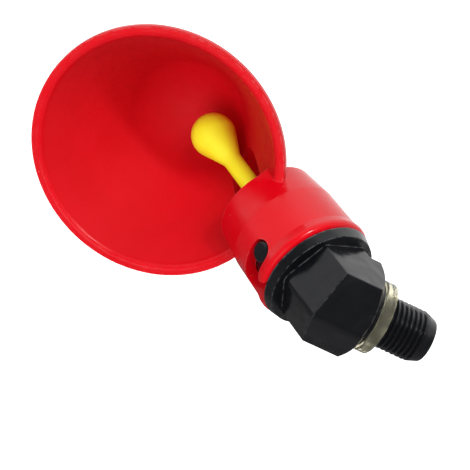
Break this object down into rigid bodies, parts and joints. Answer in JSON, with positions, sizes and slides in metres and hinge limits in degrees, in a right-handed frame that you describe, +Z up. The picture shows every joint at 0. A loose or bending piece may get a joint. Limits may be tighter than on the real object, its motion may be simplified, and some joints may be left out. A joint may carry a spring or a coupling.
{
  "type": "poultry drinking cup",
  "caption": "Hanging poultry drinker: a round open cup with a sloping housing, a ball-ended trigger valve inside, and a hexagonal elbow with a threaded inlet stem and sealing washer.",
  "frame": {"origin": "on the axis of the threaded stem, in the plane of the sealing washer's outer face", "axes": "+Y along the stem into the wall or pipe, +Z up, X across; the cup hangs below on the -Y side"},
  "size_m": [0.05, 0.0816, 0.0616],
  "materials": {
    "red_plastic": "glossy",
    "yellow_plastic": "glossy",
    "black_plastic": "semi-gloss",
    "ivory_plastic": "satin, slightly translucent",
    "black_rubber": "matte",
    "spring_steel": "bright"
  },
  "bodies": {
    "connector": {"elbow_connector": "black_plastic", "o_ring": "black_rubber", "sealing_washer": "ivory_plastic", "valve_spring": "spring_steel"},
    "cup": {"drinking_cup": "red_plastic", "valve_seal": "black_rubber"},
    "trigger": {"trigger": "yellow_plastic"}
  },
  "joints": [
    {"name": "cup_twist", "type": "hinge", "parent": "connector", "child": "cup", "pos_m": [0, -0.01334, -0.00613], "axis": [0, -0.5592, -0.829], "range_deg": [0, 35]},
    {"name": "trigger_tilt", "type": "hinge", "parent": "cup", "child": "trigger", "pos_m": [0.0052, -0.02094, -0.01741], "axis": [0, 0.829, -0.5592], "range_deg": [0, 6], "stiffness_Nm_per_rad": 0.004, "springref_deg": -37.24, "deforming": ["valve_spring"]}
  ]
}
